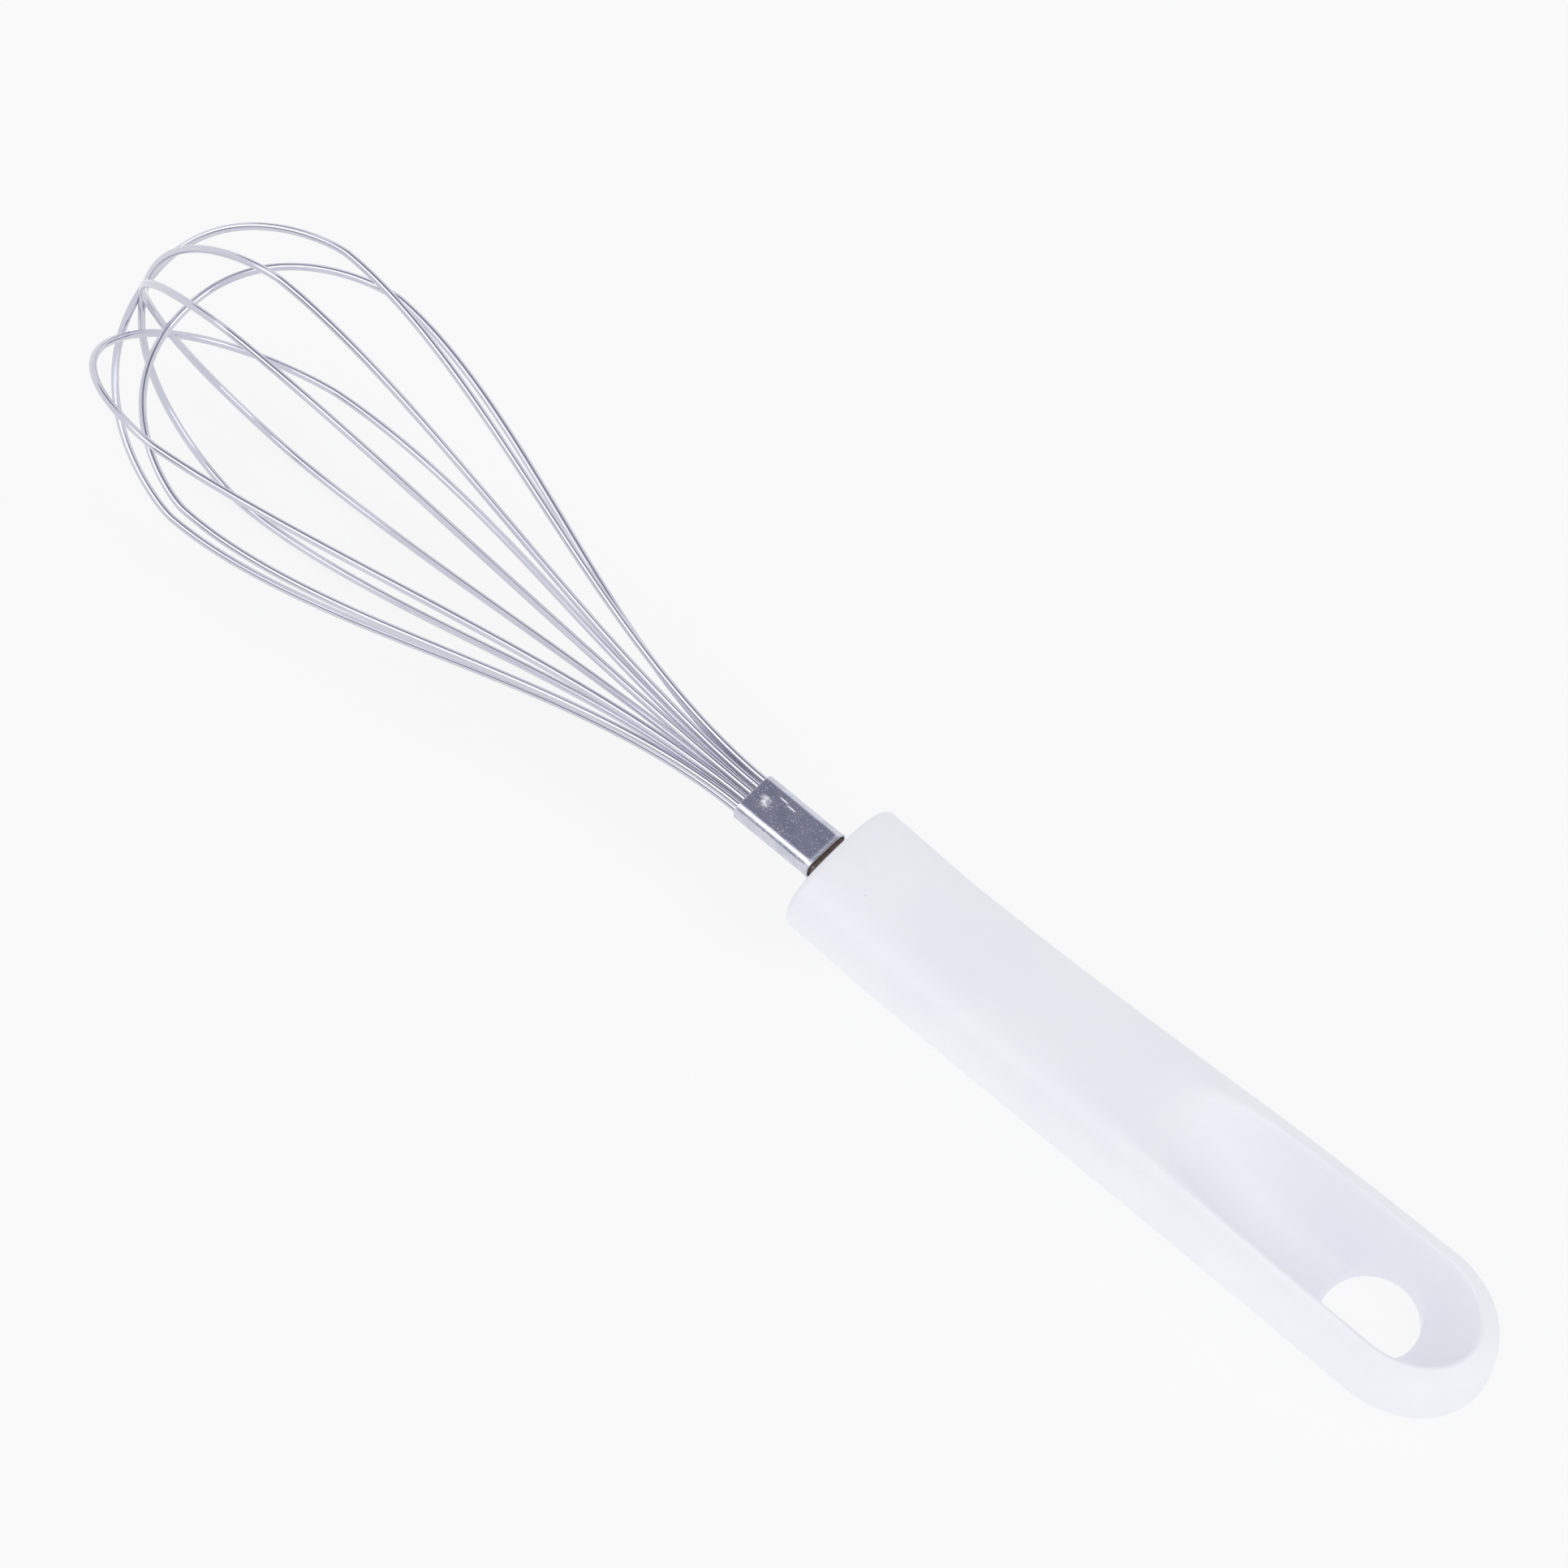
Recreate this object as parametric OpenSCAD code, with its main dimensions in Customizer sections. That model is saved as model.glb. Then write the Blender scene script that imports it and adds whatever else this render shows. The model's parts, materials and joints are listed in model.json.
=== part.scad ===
// Balloon whisk: a moulded plastic handle with a thumb scoop and a hanging hole,
// a flattened steel sleeve, and five closed steel wire loops.
// It lies at rest on a flat surface, scoop upwards, the handle's end towards +X.
// Each piece is drawn in the handle's own frame: X runs along the handle from its
// front face, and Z points out of the scoop. place() then lays it on the surface.

/* [Handle] */
// Length from the front face to the rounded end
handle_len = 126; // [115:1:140]
// Half of the width at the front
front_half_w = 12; // [11:0.1:13]
// Half of the width where the rounded end begins
rear_half_w = 12.2; // [11.6:0.1:13.5]
// How much narrower the waist is than a straight side
waist = 0.4; // [0:0.1:0.6]
// Half of the thickness at the front
front_half_t = 6.6; // [6.4:0.1:8]
// Half of the thickness at the rear
rear_half_t = 8.6; // [8.2:0.1:9.6]
// Roundness of the front section: 2 is an ellipse, more is squarer
front_power = 2.4; // [2.2:0.1:3]
// Roundness of the rear section
rear_power = 4.2; // [3.2:0.1:5.5]
// How far the front half of the handle sags below the straight line
sag = 1.5; // [0:0.1:1.8]
// Length of the half-oval at the rear end
end_len = 15; // [13:0.5:18]
// Edge radius round the front face
front_round = 1.5; // [1:0.1:2.5]
// How far the top drops towards the rear tip
tip_drop = 1.3; // [1:0.1:3]

/* [Scoop and hanging hole] */
// Distance from the front face to where the scoop begins
scoop_start = 36; // [34:1:45]
// How slowly the scoop starts: 1 is even, more is slower
scoop_ease = 2.2; // [1:0.1:2.5]
// Thickness of the web under the scoop
web_t = 3.4; // [2.5:0.1:4.5]
// Width of the rim left round the scoop
rim_w = 2.6; // [2.2:0.1:3.5]
// Steepness of the scoop's side walls near the hole
wall_power = 2.8; // [2.5:0.1:5]
// Radius that softens the rim's edge
rim_soft = 1.7; // [0.8:0.1:2.2]
// Radius of the hanging hole
hole_r = 7.6; // [6.5:0.1:8]
// Width of the flat ring round the hanging hole
flat_round_hole = 0.8; // [0.5:0.1:1.2]
// Distance from the rear tip to the middle of the hanging hole
hole_from_tip = 20; // [19:0.1:21]

/* [Sleeve] */
// Length of the sleeve
sleeve_len = 15.1; // [12:0.1:18]
// Gap between the sleeve and the handle's front face
sleeve_gap = 1.9; // [1.5:0.1:3]
// Outer width of the sleeve
sleeve_w = 8.6; // [8.4:0.1:10]
// Outer thickness of the sleeve
sleeve_t = 4; // [3.9:0.1:5]
// Sheet thickness of the sleeve
sheet_t = 0.35; // [0.3:0.05:0.4]
// Outer corner radius of the sleeve
sleeve_corner = 1.6; // [1.2:0.1:1.8]

/* [Wires] */
// Diameter of each wire
wire_d = 1.25; // [1:0.05:1.35]
// Distance between neighbouring tails in the sleeve
tail_pitch = 1.5; // [1.45:0.01:1.55]
// Length of the tails behind the handle's front face
tail_in = 22; // [15:1:28]
// Sideways swing of the wires' axis off the handle's axis, in degrees
head_yaw = 0.65; // [0:0.05:2]

/* [Hidden] */
plastic = [0.93, 0.94, 0.96];
steel = [0.78, 0.78, 0.82];
resin = [0.25, 0.18, 0.14];
eps = 0.01;
fine = 96;

// Resting pose: downward pitch of the handle's end in degrees, height of the
// front face's centre, and where that centre lies from the middle of the whole
rest_pitch = 4.4;
rest_lift = 17.56;
mid_back = 11.7;
mid_side = 2.05;

// Where the handle's rounded end and the hanging hole sit along the handle
end_x = handle_len - end_len;
hole_x = handle_len - hole_from_tip;
// Where the sleeve's front mouth sits, which is where the wires come out
mouth_x = -(sleeve_gap + sleeve_len);
row_z = tail_pitch / 2;
tail_clear = 0.03;

// One row per wire, from the outermost crown inwards: turn about the axis from +Z
// towards -Y, half-width, length from the sleeve's mouth, sideways lean of the
// crown towards -Y, and place in the sleeve's upper row.
WIRES = [
    [-51.5, 25.5, 132, -0.8, 2],
    [-11, 26.6, 130.6, 0.5, 1],
    [15.5, 27, 129.2, 0.5, 0],
    [55.5, 23.7, 127.8, 8, -1],
    [98, 24.5, 124.4, -2.9, -2]
];
// Shape of half a loop as two Bezier curves, as fractions of its length and half-width
FLARE = [[0, 0], [0.27, 0], [0.55, 1], [0.8, 1]];
CROWN = [[0.8, 1], [0.83, 1], [1, 0.8], [1, 0]];
FLARE_STEPS = 16;
CROWN_STEPS = 16;
// Share of the length over which the strands spread from their places in the sleeve
fan = 0.74;
wire_sides = 8;

function spow(v, p) = sign(v) * pow(abs(v), p);
function mix(a, b, t) = a + (b - a) * t;
function clamp01(t) = min(1, max(0, t));
function smooth(t) = let (c = clamp01(t)) c * c * (3 - 2 * c);
function bezier(p, t) =
    pow(1 - t, 3) * p[0] + 3 * pow(1 - t, 2) * t * p[1]
    + 3 * (1 - t) * t * t * p[2] + pow(t, 3) * p[3];
// The smaller of two heights, with the corner between them rounded over r
function soft_min(a, b, r) =
    let (h = clamp01(0.5 + (b - a) / (2 * r))) mix(b, a, h) - r * h * (1 - h);

// Handle: half-sizes of the outer section at x
function inset(x) =
    x >= front_round ? 0
    : front_round - sqrt(front_round * front_round - pow(front_round - x, 2));
function half_w(x) =
    mix(front_half_w, rear_half_w, smooth(x / end_x)) - waist * sin(180 * clamp01(x / end_x));
function half_t(x) = mix(front_half_t, rear_half_t, smooth(x / end_x));
function top_t(x) = half_t(x) - tip_drop * smooth((x - 0.6 * handle_len) / (0.4 * handle_len));
function power(x) = mix(front_power, rear_power, smooth(x / end_x));
function sag_z(x) = -sag * smooth(x / 20) * (1 - smooth((x - 30) / 70));
// How far along the rounded end x lies, from 0 to 1
function end_part(x) = clamp01((x - end_x) / end_len);
// Outline distance: 0 on the axis, 1 on the outer edge in plan
function edge_part(x, y, w) = sqrt(pow(y / w, 2) + pow(end_part(x), 2));
function dome(q, p) = pow(max(0, 1 - pow(min(1, q), p)), 1 / p);

// Scoop: height of its surface above the handle's axis at x, y
function scoop_depth(x) = pow(smooth((x - scoop_start) / (hole_x - hole_r - scoop_start)), scoop_ease);
function scoop_floor(x) = mix(top_t(x) + rim_soft, web_t - rear_half_t, scoop_depth(x));
function scoop_part(x, y) =
    sqrt(pow(y / (half_w(x) - rim_w), 2)
         + pow(max(0, x - end_x) / (end_len - rim_w), 2));
function wall(x) = mix(2, wall_power, smooth((x - scoop_start) / (hole_x - scoop_start)));
function scoop_z(x, y) = mix(scoop_floor(x), top_t(x) + rim_soft, pow(scoop_part(x, y), wall(x)));

top_steps = 28;
bottom_steps = 14;
// Least share of the outer thickness that the scoop leaves
least_wall = 0.2;
function section_y(x, a) =
    (half_w(x) - inset(x)) * sqrt(1 - pow(end_part(x), 2)) * spow(cos(a), 2 / power(x));
function section_dome(x, y) = dome(edge_part(x, y, half_w(x) - inset(x)), power(x));
// Heights above the handle's sagging middle line
function bottom_z(x, y) = -(half_t(x) - inset(x)) * section_dome(x, y);
function outer_top_z(x, y) = (top_t(x) - inset(x)) * section_dome(x, y);
function top_z(x, y) =
    let (under = bottom_z(x, y), over = outer_top_z(x, y))
    max(mix(under, over, least_wall), soft_min(over, scoop_z(x, y), rim_soft));
function handle_ring(x) = concat(
    [for (i = [0:top_steps - 1])
        let (y = section_y(x, 180 * i / top_steps)) [x, y, sag_z(x) + top_z(x, y)]],
    [for (i = [0:bottom_steps - 1])
        let (y = section_y(x, 180 + 180 * i / bottom_steps)) [x, y, sag_z(x) + bottom_z(x, y)]]);

// Closed solid through a list of equal-sized rings of points
module loft(rings) {
    n = len(rings[0]);
    last = len(rings) - 1;
    points = [for (ring = rings) each ring];
    sides = [for (i = [0:last - 1], j = [0:n - 1])
        each [[i * n + j, i * n + (j + 1) % n, (i + 1) * n + j],
              [(i + 1) * n + j, i * n + (j + 1) % n, (i + 1) * n + (j + 1) % n]]];
    caps = [[for (j = [n - 1:-1:0]) j], [for (j = [0:n - 1]) last * n + j]];
    polyhedron(points = points, faces = concat(sides, caps));
}

// Wires: half a loop's outline from the sleeve's mouth to the crown, as fractions
HALF_LOOP = concat(
    [for (i = [0:FLARE_STEPS - 1]) bezier(FLARE, i / FLARE_STEPS)],
    [for (i = [0:CROWN_STEPS]) bezier(CROWN, i / CROWN_STEPS)]);
function strand_point(w, f, side) =
    let (near = 1 - smooth(f[0] / fan), r = w[1] * f[1],
         y = -r * sin(w[0]) + near * w[4] * tail_pitch,
         z = r * cos(w[0]) + near * row_z)
    [mouth_x - w[2] * f[0], side * y - w[3] * f[0] * f[0], side * z];
function wire_path(w) = concat(
    [[tail_in, w[4] * tail_pitch, row_z]],
    [for (f = HALF_LOOP) strand_point(w, f, 1)],
    [for (i = [len(HALF_LOOP) - 2:-1:0]) strand_point(w, HALF_LOOP[i], -1)],
    [[tail_in, -w[4] * tail_pitch, -row_z]]);
function unit(v) = v / norm(v);
function wire_ring(path, i, across) =
    let (a = path[max(0, i - 1)], b = path[min(len(path) - 1, i + 1)],
         along = unit(b - a), u = unit(cross(along, across)), v = cross(u, along))
    [for (k = [0:wire_sides - 1])
        path[i] + wire_d / 2 * (cos(360 * k / wire_sides) * u + sin(360 * k / wire_sides) * v)];

module place() {
    translate([mid_back, -mid_side, rest_lift]) rotate([0, rest_pitch, 0]) children();
}

module head() {
    rotate([0, 0, -head_yaw]) children();
}

// Rounded rectangle in Y and Z, drawn along X from x0 to x1
module slab(x0, x1, w, t, r) {
    translate([x0, 0, 0]) rotate([90, 0, 90]) linear_extrude(x1 - x0) {
        square([w - 2 * r, t], center = true);
        square([w, t - 2 * r], center = true);
        for (sy = [-1, 1], sz = [-1, 1])
            translate([sy * (w / 2 - r), sz * (t / 2 - r)]) circle(r, $fn = 32);
    }
}

module handle() {
    front_xs = [for (i = [0:4]) front_round * (1 - cos(22.5 * i))];
    body_xs = [for (i = [1:6]) mix(front_round, scoop_start, i / 6)];
    scoop_xs = [for (i = [1:16]) mix(scoop_start, end_x, i / 16)];
    end_xs = [for (i = [1:12]) end_x + end_len * sin(89 * i / 12)];
    xs = concat(front_xs, body_xs, scoop_xs, end_xs);
    color(plastic) place() difference() {
        loft([for (x = xs) handle_ring(max(x, eps))]);
        translate([hole_x, 0, -2 * rear_half_t]) cylinder(h = 4 * rear_half_t, r = hole_r, $fn = fine);
        translate([hole_x, 0, web_t - rear_half_t])
            cylinder(h = rear_half_t, r = hole_r + flat_round_hole, $fn = fine);
        head() slab(-5, tail_in + 2, socket_w, socket_t, socket_corner);
    }
}

socket_w = sleeve_w - 2 * sheet_t;
socket_t = sleeve_t - 2 * sheet_t;
socket_corner = sleeve_corner - sheet_t;
fill_clear = 0.05;

module sleeve() {
    color(steel) place() head() difference() {
        slab(mouth_x, -sleeve_gap, sleeve_w, sleeve_t, sleeve_corner);
        slab(mouth_x - 1, -sleeve_gap + 1, socket_w, socket_t, socket_corner);
    }
}

module anchor_resin() {
    color(resin) place() head() difference() {
        slab(mouth_x + sleeve_len / 2, tail_in + 1.5, socket_w - 2 * fill_clear,
             socket_t - 2 * fill_clear, socket_corner - fill_clear);
        for (k = [-2:2], s = [-1, 1])
            translate([mouth_x, k * tail_pitch, s * row_z]) rotate([0, 90, 0])
                cylinder(h = tail_in - mouth_x + 0.2, r = wire_d / 2 + tail_clear, $fn = 32);
    }
}

module wire(i) {
    w = WIRES[i - 1];
    path = wire_path(w);
    across = [0, -cos(w[0]), -sin(w[0])];
    color(steel) place() head() loft([for (k = [0:len(path) - 1]) wire_ring(path, k, across)]);
}

handle();
sleeve();
anchor_resin();
wire(1);  // wire_1
wire(2);  // wire_2
wire(3);  // wire_3
wire(4);  // wire_4
wire(5);  // wire_5
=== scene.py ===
# %% [markdown]
# # A balloon whisk
# The whisk is a white plastic handle, a flat steel sleeve and five loops of polished
# spring wire. The engineering model that is loaded here has plain solids for all of
# them. This lesson keeps their places and sizes and builds finer meshes over them:
# a handle with a softly rounded scoop, round wires, and a sleeve with a rolled lip.

# %% Load the engineering model
import json
import math

import bmesh
import bpy
from mathutils import Matrix, Vector, noise


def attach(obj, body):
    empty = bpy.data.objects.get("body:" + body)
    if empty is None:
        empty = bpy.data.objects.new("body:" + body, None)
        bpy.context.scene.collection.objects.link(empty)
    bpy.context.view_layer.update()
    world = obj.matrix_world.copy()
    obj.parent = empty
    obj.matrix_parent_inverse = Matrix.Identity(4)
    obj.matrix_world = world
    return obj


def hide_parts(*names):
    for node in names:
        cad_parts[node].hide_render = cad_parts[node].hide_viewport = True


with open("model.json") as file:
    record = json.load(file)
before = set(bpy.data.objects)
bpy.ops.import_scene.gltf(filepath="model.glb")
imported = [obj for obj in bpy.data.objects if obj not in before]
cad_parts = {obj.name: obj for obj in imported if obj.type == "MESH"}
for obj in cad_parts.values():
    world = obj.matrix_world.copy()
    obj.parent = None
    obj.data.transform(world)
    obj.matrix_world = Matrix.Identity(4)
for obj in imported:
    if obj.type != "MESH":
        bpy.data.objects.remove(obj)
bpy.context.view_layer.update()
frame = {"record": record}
scene = bpy.context.scene

# %% [markdown]
# ## The handle's own frame
# The whisk lies on the floor with the balloon resting on its widest loops, so the handle
# slopes a few degrees. It is far easier to shape the handle lengthwise in a frame of its
# own: X from the front face to the rounded end, Z up out of the scoop. The record gives
# the hanging hole's middle and axis, which is enough to work that frame out. The wires
# and the sleeve swing a little sideways in it.

# %% Handle frame from the hanging hole
MM = 0.001
HANDLE_LEN = 126.0
HOLE_FROM_TIP = 20.0
REAR_HALF_T = 8.6
WEB_T = 3.4
HEAD_YAW = math.radians(0.65)

hole_mount = next(m for m in frame["record"]["mounts"] if m["name"] == "hanging_hole")
HOLE_R = hole_mount["dims"]["r_mm"]
HOLE_X = HANDLE_LEN - HOLE_FROM_TIP
hole_z = WEB_T / 2 - REAR_HALF_T

up = -Vector(hole_mount["axis"]).normalized()
side = Vector((0, 1, 0))
along = side.cross(up)
front = Vector(hole_mount["pos_m"]) - along * HOLE_X * MM - up * hole_z * MM
turn = Matrix((along, side, up)).transposed().to_4x4()
HANDLE_POSE = Matrix.Translation(front) @ turn
HEAD_POSE = HANDLE_POSE @ Matrix.Rotation(-HEAD_YAW, 4, "Z")
print("front face centre in mm:", [round(1000 * c, 1) for c in front])

# %% [markdown]
# ## Camera
# A long lens about a metre away flattens the perspective, as in a catalogue picture. The
# camera looks down steeply from the handle's side, so the scoop and all five loops show.
# Its place is worked out from the handle's front, which lies right of and below the
# middle of the picture. The camera keeps the upright of the direct view to that point.

# %% Camera
VIEW_AZIMUTH = math.radians(41.6)
VIEW_ELEVATION = math.radians(57.6)
VIEW_DISTANCE = 1.0
FRONT_RIGHT = 7.72 * MM
FRONT_DOWN = 12.14 * MM

back = Vector((
    math.sin(VIEW_AZIMUTH) * math.cos(VIEW_ELEVATION),
    -math.cos(VIEW_AZIMUTH) * math.cos(VIEW_ELEVATION),
    math.sin(VIEW_ELEVATION),
))
view_right = Vector((0, 0, 1)).cross(back).normalized()
view_up = back.cross(view_right)

camera_data = bpy.data.cameras.new("camera")
camera_data.sensor_width = 36.0
camera_data.lens = 152.0
camera_data.clip_start = 0.05
camera = bpy.data.objects.new("camera", camera_data)
scene.collection.objects.link(camera)
eye = front + back * VIEW_DISTANCE
aim = front - view_right * FRONT_RIGHT + view_up * FRONT_DOWN
cam_back = (eye - aim).normalized()
cam_right = view_up.cross(cam_back).normalized()
cam_up = cam_back.cross(cam_right)
camera.matrix_world = Matrix.Translation(eye) @ Matrix((cam_right, cam_up, cam_back)).transposed().to_4x4()
scene.camera = camera
print("camera height in mm:", round(1000 * eye.z))

# %% [markdown]
# ## Floor and light
# The light is soft and almost without shadows, on a white sweep. A floor that glows a
# little gives that: it lights the whisk from below as a bright tabletop does, and its own
# shadows stay faint. Polished wire only looks like metal when it has both bright and
# dark things to reflect, so reflections see a pale wall with round bright and dark
# patches. Those would also shade the plastic, so its soft light comes from a separate
# plain sky, brighter on the near side. The camera sees a plain pale backdrop.

# %% Node helpers
def add_node(tree, kind, **settings):
    """A new node in a tree, with its settings, and inputs given by name or number."""
    made = tree.nodes.new(kind)
    for key, value in settings.pop("inputs", {}).items():
        made.inputs[key].default_value = value
    for key, value in settings.items():
        setattr(made, key, value)
    return made


def join(tree, *pairs):
    """Links output to input for each pair."""
    for output, target in pairs:
        tree.links.new(output, target)


# %% Floor
def emissive_floor():
    material = bpy.data.materials.new("pale_floor")
    material.use_nodes = True
    tree = material.node_tree
    shader = tree.nodes["Principled BSDF"]
    shader.inputs["Base Color"].default_value = (0.20, 0.20, 0.20, 1)
    shader.inputs["Roughness"].default_value = 0.9
    shader.inputs["Specular IOR Level"].default_value = 0.0
    shader.inputs["Emission Color"].default_value = (1, 1, 1, 1)
    shader.inputs["Emission Strength"].default_value = 0.775
    return material


FLOOR_HALF = 3.0
floor_mesh = bpy.data.meshes.new("floor")
corners = [(-1, -1), (1, -1), (1, 1), (-1, 1)]
floor_mesh.from_pydata([(x * FLOOR_HALF, y * FLOOR_HALF, 0) for x, y in corners], [], [(0, 1, 2, 3)])
floor = bpy.data.objects.new("floor", floor_mesh)
floor.data.materials.append(emissive_floor())
scene.collection.objects.link(floor)


# %% Surroundings
def toward(azimuth, elevation):
    """The direction seen at that bearing, counted as the camera's is."""
    a = math.radians(azimuth)
    e = math.radians(elevation)
    return Vector((math.sin(a) * math.cos(e), -math.cos(a) * math.cos(e), math.sin(e)))


BACKDROP = (0.94, 0.94, 0.94, 1)
SKY_FAR = (0.55, 0.55, 0.56, 1)
SKY_NEAR = (0.94, 0.94, 0.94, 1)
NEAR_SIDE = toward(14, 30)
STUDIO_WALL = (0.93, 0.94, 0.97, 1)
BRIGHT = (2.2, 2.2, 2.2, 1)
NEAR_BLACK = (0.05, 0.05, 0.07, 1)
# Each row: direction, the two angles in degrees between which the patch fades out, and
# colour. In the main view the sleeve's flat top reflects the first one. The bright ones
# are there for streaks along the wires, and the last three for thin dark lines.
STUDIO_PATCHES = (
    (toward(-152, 63), 18, 24, (0.26, 0.26, 0.33, 1)),
    (toward(-28, 63), 11, 16, BRIGHT),
    (toward(-52, 43), 9, 13, BRIGHT),
    (toward(20, 67), 9, 13, BRIGHT),
    (toward(-16, 24), 7, 11, (0.08, 0.08, 0.10, 1)),
    (toward(-118, 30), 7, 11, NEAR_BLACK),
    (toward(150, 62), 7, 11, NEAR_BLACK),
)


def round_patch(tree, direction, centre, inner, outer):
    """A mask that is 1 near a direction and fades out between two angles in degrees."""
    meet = add_node(tree, "ShaderNodeVectorMath", operation="DOT_PRODUCT", inputs={1: centre})
    fall = add_node(tree, "ShaderNodeMapRange", interpolation_type="SMOOTHSTEP", inputs={
        1: math.cos(math.radians(outer)), 2: math.cos(math.radians(inner))})
    join(tree, (direction, meet.inputs[0]), (meet.outputs["Value"], fall.inputs[0]))
    return fall.outputs[0]


def studio_world():
    world = bpy.data.worlds.new("studio")
    world.use_nodes = True
    tree = world.node_tree
    tree.nodes.clear()
    place = add_node(tree, "ShaderNodeTexCoord").outputs["Generated"]
    glow = None
    for centre, inner, outer, shade in STUDIO_PATCHES:
        patch = round_patch(tree, place, centre, inner, outer)
        step = add_node(tree, "ShaderNodeMix", data_type="RGBA", inputs={6: STUDIO_WALL, 7: shade})
        tree.links.new(patch, step.inputs[0])
        if glow:
            tree.links.new(glow, step.inputs[6])
        glow = step.outputs[2]
    near_side = add_node(tree, "ShaderNodeVectorMath", operation="DOT_PRODUCT", inputs={1: NEAR_SIDE})
    share = add_node(tree, "ShaderNodeMapRange", inputs={1: -1.0, 2: 1.0})
    sky = add_node(tree, "ShaderNodeMix", data_type="RGBA", inputs={6: SKY_FAR, 7: SKY_NEAR})
    plain = add_node(tree, "ShaderNodeBackground", inputs={"Color": BACKDROP})
    mirrored = add_node(tree, "ShaderNodeBackground")
    soft = add_node(tree, "ShaderNodeBackground")
    path = add_node(tree, "ShaderNodeLightPath")
    for_diffuse = add_node(tree, "ShaderNodeMixShader")
    for_camera = add_node(tree, "ShaderNodeMixShader")
    out = add_node(tree, "ShaderNodeOutputWorld")
    join(tree,
         (place, near_side.inputs[0]), (near_side.outputs["Value"], share.inputs[0]),
         (share.outputs[0], sky.inputs[0]),
         (sky.outputs[2], soft.inputs["Color"]), (glow, mirrored.inputs["Color"]),
         (path.outputs["Is Diffuse Ray"], for_diffuse.inputs[0]),
         (mirrored.outputs[0], for_diffuse.inputs[1]), (soft.outputs[0], for_diffuse.inputs[2]),
         (path.outputs["Is Camera Ray"], for_camera.inputs[0]),
         (for_diffuse.outputs[0], for_camera.inputs[1]), (plain.outputs[0], for_camera.inputs[2]),
         (for_camera.outputs[0], out.inputs["Surface"]))
    return world


scene.world = studio_world()
scene.view_settings.view_transform = "Standard"


# %% Softbox
def softbox(name, azimuth, elevation, distance, size, power):
    """A square area light aimed at the origin, which lies under the whisk's middle."""
    direction = toward(azimuth, elevation)
    data = bpy.data.lights.new(name, "AREA")
    data.size = size
    data.energy = power
    lamp = bpy.data.objects.new(name, data)
    lamp.location = direction * distance
    lamp.rotation_mode = "QUATERNION"
    lamp.rotation_quaternion = direction.to_track_quat("Z", "Y")
    scene.collection.objects.link(lamp)


softbox("key_light", azimuth=100, elevation=50, distance=1.3, size=0.6, power=1.2)

# %% [markdown]
# ## Mesh helpers
# Every piece here is a skin stretched over rows of points: rings along the handle, rings
# along a wire, a strip of sheet bent round the sleeve. One helper turns rows into
# quads and another makes the object, gives it its pose, and sets it on the model.


# %% Mesh helpers
def mix(a, b, t):
    return a + (b - a) * t


def smooth(t):
    t = min(1.0, max(0.0, t))
    return t * t * (3 - 2 * t)


def grid_quads(rows, close_across, close_along=False):
    """Quads between neighbouring rows of vertex numbers."""
    pairs = list(zip(rows, rows[1:]))
    if close_along:
        pairs.append((rows[-1], rows[0]))
    quads = []
    for a, b in pairs:
        steps = len(a) if close_across else len(a) - 1
        for j in range(steps):
            k = (j + 1) % len(a)
            quads.append((a[j], a[k], b[k], b[j]))
    return quads


def new_piece(name, points_mm, faces, pose, node, slot):
    """A smooth-shaded object in place of a node of the engineering model."""
    mesh = bpy.data.meshes.new(name)
    mesh.from_pydata([pose @ (Vector(p) * MM) for p in points_mm], [], faces)
    mesh.validate()
    for polygon in mesh.polygons:
        polygon.use_smooth = True
    piece = bpy.data.objects.new(name, mesh)
    scene.collection.objects.link(piece)
    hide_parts(node)
    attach(piece, "root")
    print(name, "has", len(mesh.polygons), "faces")
    return piece


# %% [markdown]
# ## Handle shape
# The handle is one white moulding. Its section is a squarish oval that widens towards
# the rear, where a long scoop for the thumb deepens until only a thin web is left, with
# the hanging hole through it. Sculpting or subdividing a box would leave the rim uneven,
# so the top and the underside are height functions: the outer dome, and the scoop that
# is blended into it with a rounded rim.

# %% Handle sizes in millimetres
FRONT_HALF_W = 12.0
REAR_HALF_W = 12.2
WAIST = 0.4
FRONT_HALF_T = 6.6
FRONT_POWER = 2.4
REAR_POWER = 4.2
SAG = 1.5
SAG_IN_LEN = 20
SAG_OUT_START = 30
SAG_OUT_LEN = 70
END_LEN = 15.0
FRONT_ROUND = 1.5
TIP_DROP = 1.3
DROP_FROM = 0.6
SCOOP_START = 36.0
SCOOP_EASE = 2.2
RIM_W = 2.6
WALL_POWER = 2.8
RIM_SOFT = 1.7
LEAST_WALL = 0.2
END_X = HANDLE_LEN - END_LEN


# %% Handle heights
def half_w(x):
    straight = mix(FRONT_HALF_W, REAR_HALF_W, smooth(x / END_X))
    return straight - WAIST * math.sin(math.pi * min(1.0, x / END_X))


def half_t(x):
    return mix(FRONT_HALF_T, REAR_HALF_T, smooth(x / END_X))


def top_t(x):
    return half_t(x) - TIP_DROP * smooth((x - DROP_FROM * HANDLE_LEN) / ((1 - DROP_FROM) * HANDLE_LEN))


def inset(x):
    """How far the section draws in where the front edge is rounded."""
    if x >= FRONT_ROUND:
        return 0.0
    return FRONT_ROUND - math.sqrt(FRONT_ROUND**2 - (FRONT_ROUND - x)**2)


def power(x):
    """How square the section is: 2 is an ellipse."""
    return mix(FRONT_POWER, REAR_POWER, smooth(x / END_X))


def sag_z(x):
    return -SAG * smooth(x / SAG_IN_LEN) * (1 - smooth((x - SAG_OUT_START) / SAG_OUT_LEN))


def end_part(x):
    return min(1.0, max(0.0, (x - END_X) / END_LEN))


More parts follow.
